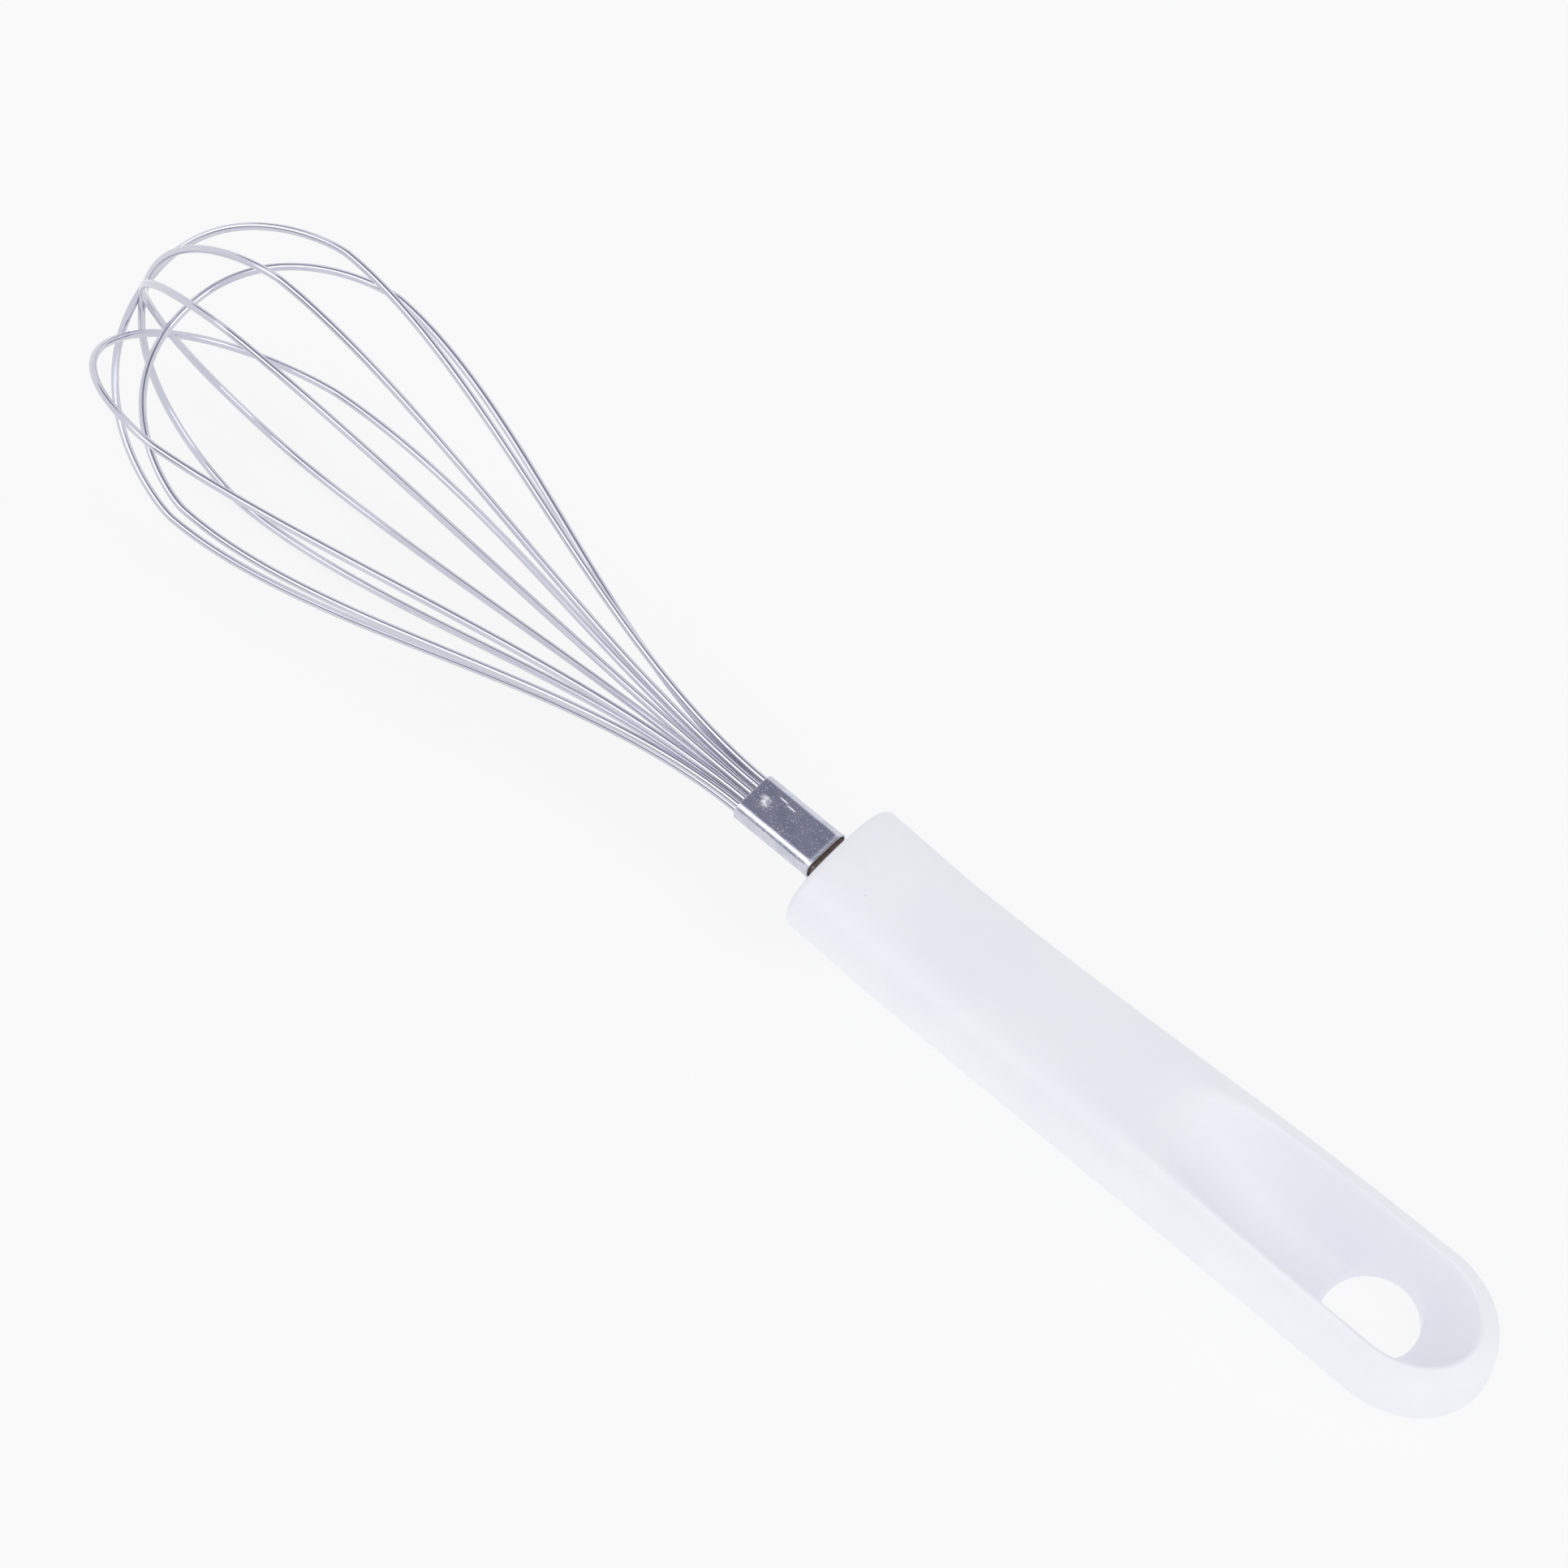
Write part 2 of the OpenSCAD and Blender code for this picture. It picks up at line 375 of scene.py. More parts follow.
def dome(x, y):
    """1 over the axis and 0 at the outer edge."""
    reach = math.hypot(y / (half_w(x) - inset(x)), end_part(x))
    return max(0.0, 1 - min(1.0, reach)**power(x))**(1 / power(x))


def soft_min(a, b, r):
    h = min(1.0, max(0.0, 0.5 + (b - a) / (2 * r)))
    return mix(b, a, h) - r * h * (1 - h)


def bottom_z(x, y):
    return sag_z(x) - (half_t(x) - inset(x)) * dome(x, y)


def top_z(x, y):
    brim = top_t(x) + RIM_SOFT
    depth = smooth((x - SCOOP_START) / (HOLE_X - HOLE_R - SCOOP_START))**SCOOP_EASE
    floor_z = mix(brim, WEB_T - REAR_HALF_T, depth)
    wall = mix(2, WALL_POWER, smooth((x - SCOOP_START) / (HOLE_X - SCOOP_START)))
    reach = math.hypot(y / (half_w(x) - RIM_W), max(0.0, x - END_X) / (END_LEN - RIM_W))
    scoop_z = mix(floor_z, brim, reach**wall)
    over = (top_t(x) - inset(x)) * dome(x, y)
    under = -(half_t(x) - inset(x)) * dome(x, y)
    return sag_z(x) + max(mix(under, over, LEAST_WALL), soft_min(over, scoop_z, RIM_SOFT))


# %% [markdown]
# ## Handle mesh
# The front part is a row of rings. Round the hanging hole rings would pinch, so there
# the mesh is a fan of spokes instead: each runs from the hole out to the handle's
# outline, once over the top and once below. The spokes that point forward end exactly on
# the last ring, so both parts share its vertices. At the hole the spokes bend over a
# quarter circle, which gives the hole its rounded lips.

# %% Handle mesh sizes
ACROSS = 88
AROUND = 2 * ACROSS
FACE_STEPS = 6
EDGE_STEPS = 12
BODY_STEPS = 110
FLANK_STEPS = 24
ARC_STEPS = 120
SPOKE_STEPS = 34
SPOKE_EASE = 2.2
LIP_STEPS = 6
WALL_STEPS = 4
TOP_LIP = 1.0
UNDER_LIP = 0.7
JOIN_X = HOLE_X - HOLE_R - 10
HOLE_CENTRE = Vector((HOLE_X, 0))
SOCKET_DEEP = 24.0
SLEEVE_W = 8.6
SLEEVE_T = 4.0
SHEET_T = 0.35
SLEEVE_CORNER = 1.6
# Each ring of the socket, from its end to the front face: place along it, and widening
SOCKET_RINGS = ((SOCKET_DEEP, 0), (0.4, 0), (0.1, 0.08), (0, 0.3))


# %% Outlines
def slab_outline(w, t, r, flat_steps, corner_steps):
    """Points and outward directions round a rectangle with round corners."""
    result = []
    for quarter, (sy, sz) in enumerate(((1, 1), (-1, 1), (-1, -1), (1, -1))):
        centre = Vector((sy * (w / 2 - r), sz * (t / 2 - r)))
        for i in range(corner_steps + 1):
            angle = math.radians(90 * (quarter + i / corner_steps))
            outward = Vector((math.cos(angle), math.sin(angle)))
            result.append((centre + outward * r, outward))
        flat = (w if quarter in (0, 2) else t) - 2 * r
        step = Vector((-outward.y, outward.x)) * flat / flat_steps
        result += [(result[-1][0] + step * i, outward) for i in range(1, flat_steps)]
    return result


def handle_ring_y(x, j):
    lean = math.cos(math.pi * j / ACROSS)
    width = (half_w(x) - inset(x)) * math.sqrt(1 - end_part(x)**2)
    return width * math.copysign(abs(lean)**(2 / power(x)), lean)


def add_point(points, point):
    """Adds a vertex and returns its number."""
    points.append(point)
    return len(points) - 1


# %% Handle's front part
def handle_ring(points, x):
    top = [handle_ring_y(x, j) for j in range(ACROSS + 1)]
    under = list(reversed(top))[1:-1]
    row = [add_point(points, (x, y, top_z(x, y))) for y in top]
    return row + [add_point(points, (x, y, bottom_z(x, y))) for y in under]


def socket_ring(points, mouth, x, widen):
    swing = Matrix.Rotation(-HEAD_YAW, 3, "Z")
    row = []
    for j in range(AROUND):
        (y, z), (ny, nz) = mouth[round(j * len(mouth) / AROUND) % len(mouth)]
        row.append(add_point(points, swing @ Vector((x, y + ny * widen, z + nz * widen))))
    return row


def face_rows(points, lip):
    """Rows over the flat front face, from the socket's lip towards the handle's edge."""
    edge = [handle_ring_y(0, j) for j in range(ACROSS + 1)]
    edge_yz = [(y, top_z(0, y)) for y in edge]
    edge_yz += [(y, bottom_z(0, y)) for y in reversed(edge[1:-1])]
    lip_yz = [points[n][1:] for n in lip]
    rows = []
    for i in range(1, FACE_STEPS):
        t = i / FACE_STEPS
        rows.append([add_point(points, (0, mix(a[0], b[0], t), mix(a[1], b[1], t)))
                     for a, b in zip(lip_yz, edge_yz)])
    return rows


def front_rows(points):
    """Rings from the socket's end to the front face and back along the outside."""
    mouth = slab_outline(SLEEVE_W - 2 * SHEET_T, SLEEVE_T - 2 * SHEET_T, SLEEVE_CORNER - SHEET_T,
                         flat_steps=36, corner_steps=8)
    rows = [socket_ring(points, mouth, x, widen) for x, widen in SOCKET_RINGS]
    rows += face_rows(points, rows[-1])
    quarter = [math.radians(90 * i / EDGE_STEPS) for i in range(EDGE_STEPS + 1)]
    xs = [FRONT_ROUND * (1 - math.cos(a)) for a in quarter]
    xs += [mix(FRONT_ROUND, JOIN_X, i / BODY_STEPS) for i in range(1, BODY_STEPS + 1)]
    return rows + [handle_ring(points, x) for x in xs]


# %% Handle's rear part
def spoke_ends(points, last_ring):
    """For each spoke, its end in plan and the vertices it ends on above and below."""
    flank = [mix(JOIN_X, END_X, i / FLANK_STEPS) for i in range(1, FLANK_STEPS)]
    arc = [math.radians(180 * i / ARC_STEPS) for i in range(ARC_STEPS + 1)]
    outline = [(x, -half_w(x)) for x in flank]
    outline += [(END_X + END_LEN * math.sin(a), -REAR_HALF_W * math.cos(a)) for a in arc]
    outline += [(x, half_w(x)) for x in reversed(flank)]
    top_edge = last_ring[:ACROSS + 1]
    under_edge = [last_ring[0]] + list(reversed(last_ring[ACROSS + 1:])) + [last_ring[ACROSS]]
    rim = [add_point(points, (x, y, 0.0)) for x, y in outline]
    ends = [(Vector(points[n][:2]), n, m) for n, m in zip(top_edge, under_edge)]
    return ends + [(Vector(p), n, n) for p, n in zip(outline, rim)]


def half_spoke(points, out, reach, height, lip, sign):
    """Vertices from the hole over its lip and out towards the handle's outline."""
    made = []
    for i in range(LIP_STEPS):
        turn_by = math.radians(90 * i / LIP_STEPS)
        place = HOLE_CENTRE + out * (HOLE_R + lip * (1 - math.cos(turn_by)))
        drop = lip * (1 - math.sin(turn_by))
        made.append(add_point(points, (place.x, place.y, height(*place) - sign * drop)))
    for i in range(SPOKE_STEPS):
        part = 1 - (1 - i / SPOKE_STEPS)**SPOKE_EASE
        place = HOLE_CENTRE + out * mix(HOLE_R + lip, reach, part)
        made.append(add_point(points, (place.x, place.y, height(*place))))
    return made


def spoke_row(points, end, top_end, under_end):
    """One spoke: in over the top, down the hole's wall, and out again below."""
    reach = (end - HOLE_CENTRE).length
    out = (end - HOLE_CENTRE) / reach
    upper = half_spoke(points, out, reach, top_z, TOP_LIP, 1)
    lower = half_spoke(points, out, reach, bottom_z, UNDER_LIP, -1)
    x, y = HOLE_CENTRE + out * HOLE_R
    high = top_z(x, y) - TOP_LIP
    low = bottom_z(x, y) + UNDER_LIP
    wall = [add_point(points, (x, y, mix(low, high, i / WALL_STEPS))) for i in range(1, WALL_STEPS)]
    return [top_end] + list(reversed(upper)) + list(reversed(wall)) + lower + [under_end]


# %% Handle mesh
def handle_mesh():
    points = []
    rings = front_rows(points)
    faces = [tuple(rings[0])] + grid_quads(rings, close_across=True)
    spokes = [spoke_row(points, *end) for end in spoke_ends(points, rings[-1])]
    faces += grid_quads(spokes, close_across=False, close_along=True)
    return points, faces


handle = new_piece("handle_moulding", *handle_mesh(), HANDLE_POSE, "handle", "handle_plastic")

# %% [markdown]
# ## Wires
# Each wire is one closed loop of spring steel whose two tails run back through the
# sleeve. A Blender curve with a round bevel would do, but a swept mesh gives each wire a
# UV map measured in metres along and around it, which the drawing marks need. The loop
# is two Bezier pieces: a flare from the sleeve and a blunt crown at the end.

# %% Wire sizes in millimetres
WIRE_R = 0.625
TAIL_PITCH = 1.5
TAIL_IN = 22.0
SLEEVE_LEN = 15.1
SLEEVE_GAP = 1.9
MOUTH_X = -(SLEEVE_GAP + SLEEVE_LEN)
FAN = 0.74
FLARE = ((0, 0), (0.27, 0), (0.55, 1), (0.8, 1))
CROWN = ((0.8, 1), (0.83, 1), (1, 0.8), (1, 0))
# Each row: turn about the axis in degrees, half-width, length, sideways lean of the
# crown, and place in the sleeve's upper row
WIRES = (
    (-51.5, 25.5, 132.0, -0.8, 2),
    (-11.0, 26.6, 130.6, 0.5, 1),
    (15.5, 27.0, 129.2, 0.5, 0),
    (55.5, 23.7, 127.8, 8.0, -1),
    (98.0, 24.5, 124.4, -2.9, -2),
)


# %% Wire path
def bezier(p, t):
    weights = ((1 - t)**3, 3 * (1 - t)**2 * t, 3 * (1 - t) * t * t, t**3)
    return tuple(sum(w * q[k] for w, q in zip(weights, p)) for k in (0, 1))


def strand_point(wire, part, out, sign):
    turned, half, length, lean, place = wire
    near = 1 - smooth(part / FAN)
    turned = math.radians(turned)
    y = -half * out * math.sin(turned) + near * place * TAIL_PITCH
    z = half * out * math.cos(turned) + near * TAIL_PITCH / 2
    return Vector((MOUTH_X - length * part, sign * y - lean * part * part, sign * z))


def wire_path(wire, flare_steps=90, crown_steps=60, tail_steps=12):
    half = [bezier(FLARE, i / flare_steps) for i in range(flare_steps)]
    half += [bezier(CROWN, i / crown_steps) for i in range(crown_steps + 1)]
    tail = Vector((0, wire[4] * TAIL_PITCH, TAIL_PITCH / 2))
    tail_x = [mix(TAIL_IN, MOUTH_X, i / tail_steps) for i in range(tail_steps)]
    go = [Vector((x, tail.y, tail.z)) for x in tail_x] + [strand_point(wire, *p, 1) for p in half]
    back_again = [strand_point(wire, *p, -1) for p in reversed(half[:-1])]
    return go + back_again + [Vector((x, -tail.y, -tail.z)) for x in reversed(tail_x)]


# %% Wire mesh
WIRE_SIDES = 16


def swept_wire(path, radius):
    """Points, quads and UVs of a round tube that doesn't twist along its path."""
    points = []
    rows = []
    travelled = [0.0]
    normal = Vector((0, 0, 1))
    for i, here in enumerate(path):
        ahead = (path[min(i + 1, len(path) - 1)] - path[max(i - 1, 0)]).normalized()
        normal = (normal - ahead * normal.dot(ahead)).normalized()
        other = ahead.cross(normal)
        if i:
            travelled.append(travelled[-1] + (here - path[i - 1]).length)
        rows.append([len(points) + k for k in range(WIRE_SIDES)])
        for k in range(WIRE_SIDES):
            a = 2 * math.pi * k / WIRE_SIDES
            points.append(here + radius * (math.cos(a) * normal + math.sin(a) * other))
    faces = [tuple(reversed(rows[0]))] + grid_quads(rows, close_across=True) + [tuple(rows[-1])]
    return points, faces, travelled


def map_wire(piece, travelled):
    """UVs in metres: U along the wire, V round it."""
    uv = piece.data.uv_layers.new(name="wire_metres")
    girth = 2 * math.pi * WIRE_R * MM
    for polygon in piece.data.polygons:
        first = min(v % WIRE_SIDES for v in polygon.vertices)
        last = max(v % WIRE_SIDES for v in polygon.vertices)
        wraps = last - first > 1
        for loop in polygon.loop_indices:
            row, k = divmod(piece.data.loops[loop].vertex_index, WIRE_SIDES)
            turned = (k if k or not wraps else WIRE_SIDES) / WIRE_SIDES
            uv.data[loop].uv = (travelled[row] * MM, turned * girth)


wires = []
for number, wire in enumerate(WIRES, 1):
    tube_points, tube_faces, travelled = swept_wire(wire_path(wire), WIRE_R)
    piece = new_piece(f"wire_loop_{number}", tube_points, tube_faces, HEAD_POSE,
                      f"wire_{number}", "wire_steel")
    map_wire(piece, travelled)
    wires.append(piece)

# %% [markdown]
# ## Sleeve
# The sleeve is thin steel sheet pressed flat round the wires. It is modelled as the
# sheet's own edge-on profile (two skins, two rounded edges, a lip rolled out at the
# rear) carried round a flat outline. A shallow dimple near the front is the mark that
# the spot welder left.

# %% Sleeve mesh
LIP_LEN = 1.3
LIP_OUT = 0.20
WELD_X = MOUTH_X + 2.6
WELD_Y = -0.2
WELD_R = 0.9
WELD_DEEP = 0.10


def lip_offset(x):
    return LIP_OUT * max(0.0, (x + SLEEVE_GAP + LIP_LEN) / LIP_LEN)**2


def sheet_profile():
    """The sheet cut along the sleeve: (x, distance out from the sleeve's flat face)."""
    r = SHEET_T / 2
    steps = 90
    bend_steps = 8
    xs = [mix(MOUTH_X + r, -SLEEVE_GAP - r, i / steps) for i in range(steps + 1)]
    bend = [math.radians(180 * i / bend_steps) for i in range(1, bend_steps)]
    outer = [(x, lip_offset(x)) for x in xs]
    rear = [(xs[-1] + r * math.sin(a), lip_offset(xs[-1]) - r + r * math.cos(a)) for a in bend]
    inner = [(x, lip_offset(x) - SHEET_T) for x in reversed(xs)]
    front_edge = [(xs[0] - r * math.sin(a), -r - r * math.cos(a)) for a in bend]
    return outer + rear + inner + front_edge


def sleeve_mesh():
    outline = slab_outline(SLEEVE_W, SLEEVE_T, SLEEVE_CORNER, flat_steps=40, corner_steps=10)
    profile = sheet_profile()
    points = []
    rows = []
    for (y, z), (ny, nz) in outline:
        rows.append([len(points) + i for i in range(len(profile))])
        for x, out in profile:
            dent = 0.0
            if nz > 0.99 and out > -SHEET_T / 2:
                apart = math.hypot(x - WELD_X, y - WELD_Y) / WELD_R
                dent = WELD_DEEP * math.exp(-apart * apart)
            points.append((x, y + ny * out, z + nz * out - dent))
    return points, grid_quads(rows, close_across=True, close_along=True)


sleeve = new_piece("steel_sleeve", *sleeve_mesh(), HEAD_POSE, "sleeve", "sleeve_steel")

# %% [markdown]
# ## Resin plug
# Dark resin grips the ten wire tails. It shows only in the narrow gap between the sleeve
# and the handle, where it sinks in a little between the two and is lumpy, as poured
# resin is.

# %% Resin mesh
PLUG_END = 23.5
FILL_CLEAR = 0.05
GAP_SINK = 0.10
LUMP_SIZE = 0.06
LUMP_SCALE = 0.9
# How far the finely divided stretch and the sunken one run past the gap on each side
FINE_MARGIN = 1
SINK_MARGIN = 0.5
SINK_FADE = 0.6


def plug_mesh():
    w = SLEEVE_W - 2 * (SHEET_T + FILL_CLEAR)
    t = SLEEVE_T - 2 * (SHEET_T + FILL_CLEAR)
    outline = slab_outline(w, t, SLEEVE_CORNER - SHEET_T - FILL_CLEAR, flat_steps=30, corner_steps=8)
    start = MOUTH_X + SLEEVE_LEN / 2
    fine_start = -SLEEVE_GAP - FINE_MARGIN
    xs = [mix(start, fine_start, i / 10) for i in range(11)]
    xs += [mix(fine_start, FINE_MARGIN, i / 24) for i in range(1, 25)]
    xs += [mix(FINE_MARGIN, PLUG_END, i / 8) for i in range(1, 9)]
    points = []
    rows = []
    for x in xs:
        in_gap = smooth(min(x + SLEEVE_GAP + SINK_MARGIN, SINK_MARGIN - x) / SINK_FADE)
        rows.append([len(points) + j for j in range(len(outline))])
        for (y, z), (ny, nz) in outline:
            lump = noise.noise(Vector((x, y, z)) * LUMP_SCALE) * LUMP_SIZE
            out = in_gap * (lump - GAP_SINK)
            points.append((x, y + ny * out, z + nz * out))
    faces = [tuple(rows[0])] + grid_quads(rows, close_across=True) + [tuple(reversed(rows[-1]))]
    return points, faces


plug = new_piece("resin_plug", *plug_mesh(), HEAD_POSE, "anchor_resin", "anchor_resin")

# %% [markdown]
# ## Make every skin face outwards
# The rows above run in different directions, so some skins may come out inside out.
# Blender can turn all faces of a closed mesh outwards in one step.

# %% Face outwards
def face_outwards(piece):
    shell = bmesh.new()
    shell.from_mesh(piece.data)
    bmesh.ops.remove_doubles(shell, verts=shell.verts, dist=1e-7)
    bmesh.ops.recalc_face_normals(shell, faces=shell.faces)
    open_edges = sum(not e.is_manifold for e in shell.edges)
    volume = shell.calc_volume(signed=True)
    if volume < 0:
        bmesh.ops.reverse_faces(shell, faces=shell.faces)
    shell.to_mesh(piece.data)
    shell.free()
    print(piece.name, "open edges", open_edges, "volume in mm3", round(abs(volume) * 1e9, 1))


for piece in (handle, sleeve, plug, *wires):
    face_outwards(piece)

# %% [markdown]
# ## Shared surface effects
# Four effects serve several finishes, so each is a node group that is built once: soft
# clouds of tint, a fine grain for roughness and height, small pits, and single oval
# marks with soft edges.


# %% Node groups
def new_group(name, inputs, outputs):
    group = bpy.data.node_groups.new(name, "ShaderNodeTree")
    for label, kind, value in inputs:
        socket = group.interface.new_socket(name=label, in_out="INPUT", socket_type=kind)
        if value is not None:
            socket.default_value = value
    for label, kind in outputs:
        group.interface.new_socket(name=label, in_out="OUTPUT", socket_type=kind)
    return group, group.nodes.new("NodeGroupInput"), group.nodes.new("NodeGroupOutput")


FLOAT = "NodeSocketFloat"
COLOR = "NodeSocketColor"
VECTOR = "NodeSocketVector"


def cloudy_tint_group():
    group, given, result = new_group(
        "cloudy_tint",
        [("Vector", VECTOR, None), ("Scale", FLOAT, 40.0),
         ("Tint A", COLOR, (1, 1, 1, 1)), ("Tint B", COLOR, (0.8, 0.8, 0.8, 1))],
        [("Color", COLOR), ("Cloud", FLOAT)])
    clouds = add_node(group, "ShaderNodeTexNoise", inputs={"Detail": 3.0, "Roughness": 0.55})
    spread = add_node(group, "ShaderNodeMapRange", inputs={1: 0.35, 2: 0.65})
    blend = add_node(group, "ShaderNodeMix", data_type="RGBA")
    join(group,
         (given.outputs["Vector"], clouds.inputs["Vector"]), (given.outputs["Scale"], clouds.inputs["Scale"]),
         (clouds.outputs[0], spread.inputs[0]), (spread.outputs[0], blend.inputs[0]),
         (given.outputs["Tint A"], blend.inputs[6]), (given.outputs["Tint B"], blend.inputs[7]),
         (blend.outputs[2], result.inputs["Color"]), (spread.outputs[0], result.inputs["Cloud"]))
    return group


def fine_grain_group():
    group, given, result = new_group(
        "fine_grain",
        [("Vector", VECTOR, None), ("Scale", FLOAT, 900.0), ("Low", FLOAT, 0.2), ("High", FLOAT, 0.4)],
        [("Roughness", FLOAT), ("Height", FLOAT)])
    grain = add_node(group, "ShaderNodeTexNoise", inputs={"Detail": 4.0, "Roughness": 0.6})
    spread = add_node(group, "ShaderNodeMapRange", inputs={1: 0.3, 2: 0.7})
    join(group,
         (given.outputs["Vector"], grain.inputs["Vector"]), (given.outputs["Scale"], grain.inputs["Scale"]),
         (grain.outputs[0], spread.inputs[0]),
         (given.outputs["Low"], spread.inputs[3]), (given.outputs["High"], spread.inputs[4]),
         (spread.outputs[0], result.inputs["Roughness"]), (grain.outputs[0], result.inputs["Height"]))
    return group


def pits_group():
    group, given, result = new_group(
        "pits",
        [("Vector", VECTOR, None), ("Scale", FLOAT, 2500.0), ("Size", FLOAT, 0.35)],
        [("Mask", FLOAT)])
    cells = add_node(group, "ShaderNodeTexVoronoi")
    edge = add_node(group, "ShaderNodeMapRange", inputs={1: 0.0, 3: 1.0, 4: 0.0})
    lot = add_node(group, "ShaderNodeSeparateColor")
    rare = add_node(group, "ShaderNodeMapRange", inputs={1: 0.6, 2: 0.9})
    some = add_node(group, "ShaderNodeMath", operation="MULTIPLY")
    join(group,
         (given.outputs["Vector"], cells.inputs["Vector"]), (given.outputs["Scale"], cells.inputs["Scale"]),
         (cells.outputs["Distance"], edge.inputs[0]), (given.outputs["Size"], edge.inputs[2]),
         (cells.outputs["Color"], lot.inputs[0]), (lot.outputs[0], rare.inputs[0]),
         (rare.outputs[0], some.inputs[0]),
         (edge.outputs[0], some.inputs[1]), (some.outputs[0], result.inputs["Mask"]))
    return group


def blob_group():
    group, given, result = new_group(
        "blob",
        [("Vector", VECTOR, None), ("Centre", VECTOR, None), ("Half Size", VECTOR, (0.001, 0.001, 0.001))],
        [("Mask", FLOAT)])
    away = add_node(group, "ShaderNodeVectorMath", operation="SUBTRACT")
    share = add_node(group, "ShaderNodeVectorMath", operation="DIVIDE")
    reach = add_node(group, "ShaderNodeVectorMath", operation="LENGTH")
    fade = add_node(group, "ShaderNodeMapRange", interpolation_type="SMOOTHSTEP",
                    inputs={1: 0.3, 2: 1.0, 3: 1.0, 4: 0.0})
    join(group,
         (given.outputs["Vector"], away.inputs[0]), (given.outputs["Centre"], away.inputs[1]),
         (away.outputs[0], share.inputs[0]), (given.outputs["Half Size"], share.inputs[1]),
         (share.outputs[0], reach.inputs[0]), (reach.outputs["Value"], fade.inputs[0]),
         (fade.outputs[0], result.inputs["Mask"]))
    return group


CLOUDY_TINT = cloudy_tint_group()
FINE_GRAIN = fine_grain_group()
PITS = pits_group()
BLOB = blob_group()
print("shared groups:", [g.name for g in bpy.data.node_groups])


# %% Material helper
def new_material(name, **values):
    """A material, its node tree and its Principled shader with plain values set."""
    material = bpy.data.materials.new(name)
    material.use_nodes = True
    tree = material.node_tree
    shader = tree.nodes["Principled BSDF"]
    for key, value in values.items():
        shader.inputs[key.replace("_", " ")].default_value = value
    return material, tree, shader


def use_group(tree, group, vector, **values):
    placed = add_node(tree, "ShaderNodeGroup", node_tree=group)
    for key, value in values.items():
        placed.inputs[key.replace("_", " ")].default_value = value
    tree.links.new(vector, placed.inputs["Vector"])
    return placed


def local_place(tree, pose):
    """Object coordinates turned back into a piece's own frame, still in metres."""
    back_to_piece = pose.inverted()
    mapping = add_node(tree, "ShaderNodeMapping", inputs={
        "Location": back_to_piece.translation, "Rotation": back_to_piece.to_euler()})
    tree.links.new(add_node(tree, "ShaderNodeTexCoord").outputs["Object"], mapping.inputs["Vector"])
    return mapping.outputs[0]


def tint_over(tree, base, mask, colour):
    """The base colour with another colour laid over it where the mask is 1."""
    over = add_node(tree, "ShaderNodeMix", data_type="RGBA", inputs={7: colour})
    join(tree, (mask, over.inputs[0]), (base, over.inputs[6]))
    return over.outputs[2]


def finish_bump(tree, shader, height, distance):
    bump = add_node(tree, "ShaderNodeBump", inputs={"Distance": distance})
    join(tree, (height, bump.inputs["Height"]), (bump.outputs[0], shader.inputs["Normal"]))


# %% [markdown]
# ## White moulded plastic
# The plastic is cool white with a satin skin. Faint clouds of lilac and blue-white keep
# it from looking like paper, and a very fine bump breaks up the gloss, as a lightly
# spark-eroded mould does.

# %% Handle plastic
# A small grey speck near the front: middle and half-size in metres, in the handle's frame
SPECK_CENTRE = (0.0088, -0.0036, 0.0064)
SPECK_HALF_SIZE = (0.00022, 0.00022, 0.002)


def handle_plastic():
    material, tree, shader = new_material("white_moulding", IOR=1.49)
    place = local_place(tree, HANDLE_POSE)
    tint = use_group(tree, CLOUDY_TINT, place, Scale=55.0,
                     Tint_A=(0.908, 0.928, 0.975, 1), Tint_B=(0.893, 0.903, 0.962, 1))
    grain = use_group(tree, FINE_GRAIN, place, Scale=2200.0, Low=0.30, High=0.42)
    speck = use_group(tree, BLOB, place, Centre=SPECK_CENTRE, Half_Size=SPECK_HALF_SIZE)
    marked = tint_over(tree, tint.outputs["Color"], speck.outputs["Mask"], (0.7, 0.7, 0.78, 1))
    join(tree, (marked, shader.inputs["Base Color"]),
         (grain.outputs["Roughness"], shader.inputs["Roughness"]))
    finish_bump(tree, shader, grain.outputs["Height"], 0.00003)
    return material


handle.data.materials.append(handle_plastic())

# %% [markdown]
# ## Polished spring wire
# Stainless wire is drawn through a die, which leaves hair-fine lines along it. The UV map
# in metres is stretched so that the grain runs lengthwise.

# %% Wire steel
def wire_steel():
    material, tree, shader = new_material("polished_wire", Metallic=1.0)
    place = add_node(tree, "ShaderNodeTexCoord").outputs["UV"]
    stretch = add_node(tree, "ShaderNodeMapping", inputs={"Scale": (0.02, 1, 1)})
    tree.links.new(place, stretch.inputs["Vector"])
    tint = use_group(tree, CLOUDY_TINT, place, Scale=60.0,
                     Tint_A=(0.67, 0.67, 0.74, 1), Tint_B=(0.61, 0.61, 0.69, 1))
    lines = use_group(tree, FINE_GRAIN, stretch.outputs[0], Scale=9000.0, Low=0.03, High=0.10)
    join(tree, (tint.outputs["Color"], shader.inputs["Base Color"]),
         (lines.outputs["Roughness"], shader.inputs["Roughness"]))
    return material


wire_finish = wire_steel()
for piece in wires:
    piece.data.materials.append(wire_finish)

# %% [markdown]
# ## Dull pressed sheet
# The sleeve is darker and rougher than the wire: rolled sheet with fine specks, a rubbed
# patch round the weld and two short scratches. All three kinds of mark are whiter and
# rougher than the sheet round them, so they stay pale where the sheet reflects dark.

# %% Sleeve steel
# Half-sizes of the marks in metres, and the scratches' middles in millimetres
WELD_HALF_SIZE = (0.0018, 0.0014, 0.001)
SCRATCH_HALF_SIZE = (0.0013, 0.0002, 0.001)
SCRATCHES = ((-12.3, 1.9), (-10.6, 1.6))
MARK_ROUGHNESS = 0.45


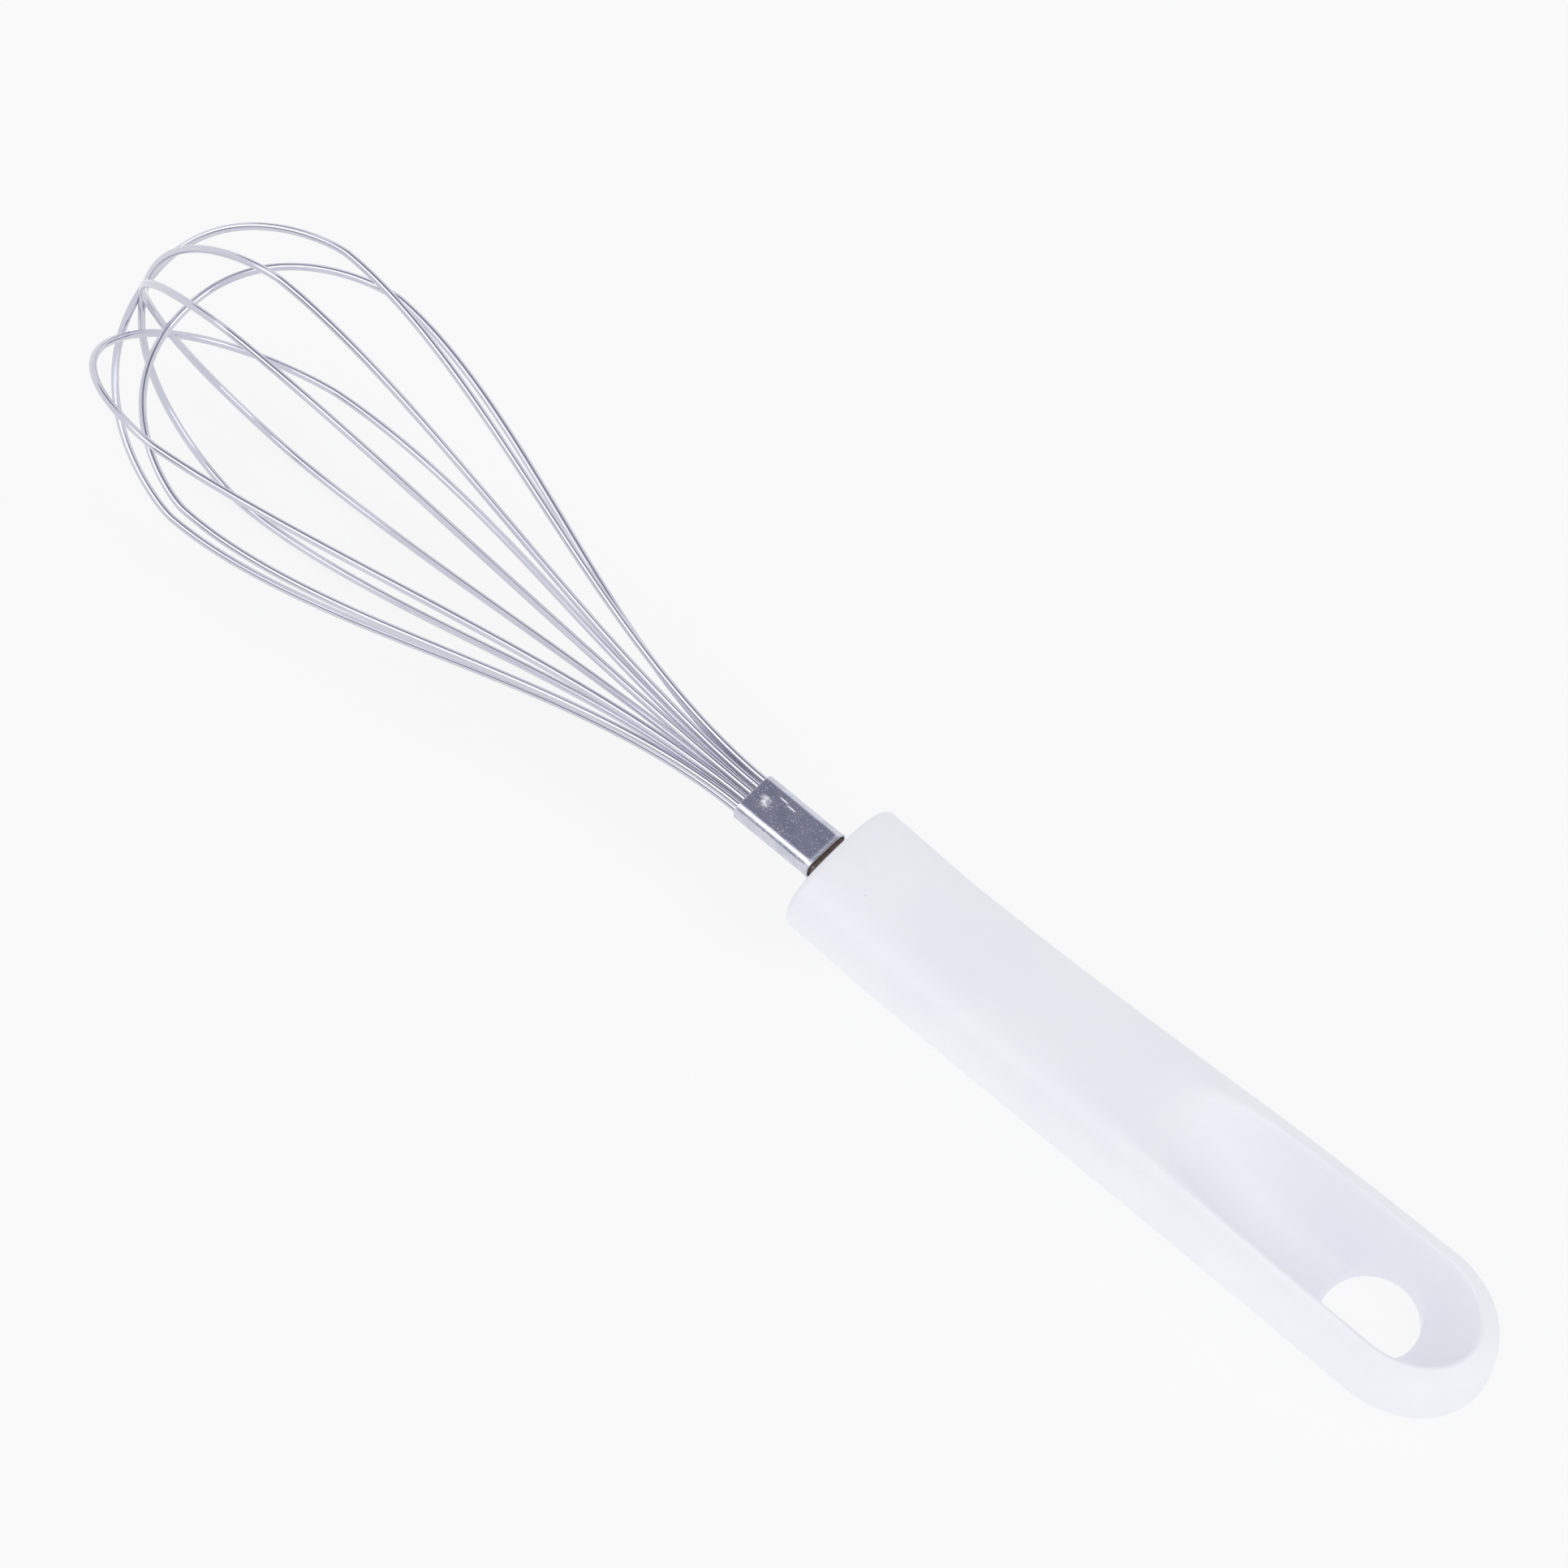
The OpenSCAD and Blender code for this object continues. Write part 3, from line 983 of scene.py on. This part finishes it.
def sleeve_steel():
    material, tree, shader = new_material("pressed_sheet", Metallic=1.0)
    place = local_place(tree, HEAD_POSE)
    tint = use_group(tree, CLOUDY_TINT, place, Scale=420.0,
                     Tint_A=(0.56, 0.585, 0.66, 1), Tint_B=(0.68, 0.70, 0.77, 1))
    specks = use_group(tree, PITS, place, Scale=3600.0, Size=0.45)
    grain = use_group(tree, FINE_GRAIN, place, Scale=5000.0, Low=0.12, High=0.24)
    top_z = SLEEVE_T / 2 * MM
    weld = use_group(tree, BLOB, place, Centre=(WELD_X * MM, WELD_Y * MM, top_z), Half_Size=WELD_HALF_SIZE)
    worn = use_group(tree, CLOUDY_TINT, place, Scale=1300.0)
    smudge = add_node(tree, "ShaderNodeMath", operation="MULTIPLY")
    join(tree, (weld.outputs["Mask"], smudge.inputs[0]), (worn.outputs["Cloud"], smudge.inputs[1]))
    marks = smudge.outputs[0]
    others = [specks] + [
        use_group(tree, BLOB, place, Centre=(x * MM, y * MM, top_z), Half_Size=SCRATCH_HALF_SIZE)
        for x, y in SCRATCHES]
    for other in others:
        either = add_node(tree, "ShaderNodeMath", operation="MAXIMUM")
        join(tree, (marks, either.inputs[0]), (other.outputs["Mask"], either.inputs[1]))
        marks = either.outputs[0]
    colour = tint_over(tree, tint.outputs["Color"], marks, (1.0, 1.0, 1.0, 1))
    rub = add_node(tree, "ShaderNodeMath", operation="MULTIPLY_ADD", inputs={1: MARK_ROUGHNESS})
    join(tree, (marks, rub.inputs[0]), (grain.outputs["Roughness"], rub.inputs[2]),
         (colour, shader.inputs["Base Color"]), (rub.outputs[0], shader.inputs["Roughness"]))
    finish_bump(tree, shader, grain.outputs["Height"], 0.00002)
    return material


sleeve.data.materials.append(sleeve_steel())

# %% [markdown]
# ## Casting resin
# The resin is dark brown and matt, with small bubbles at its surface.

# %% Resin
def casting_resin():
    material, tree, shader = new_material("casting_resin", Roughness=0.55)
    place = add_node(tree, "ShaderNodeTexCoord").outputs["Object"]
    tint = use_group(tree, CLOUDY_TINT, place, Scale=900.0,
                     Tint_A=(0.10, 0.066, 0.05, 1), Tint_B=(0.15, 0.105, 0.08, 1))
    bubbles = use_group(tree, PITS, place, Scale=2600.0, Size=0.45)
    join(tree, (tint.outputs["Color"], shader.inputs["Base Color"]))
    finish_bump(tree, shader, bubbles.outputs["Mask"], 0.00005)
    return material


plug.data.materials.append(casting_resin())
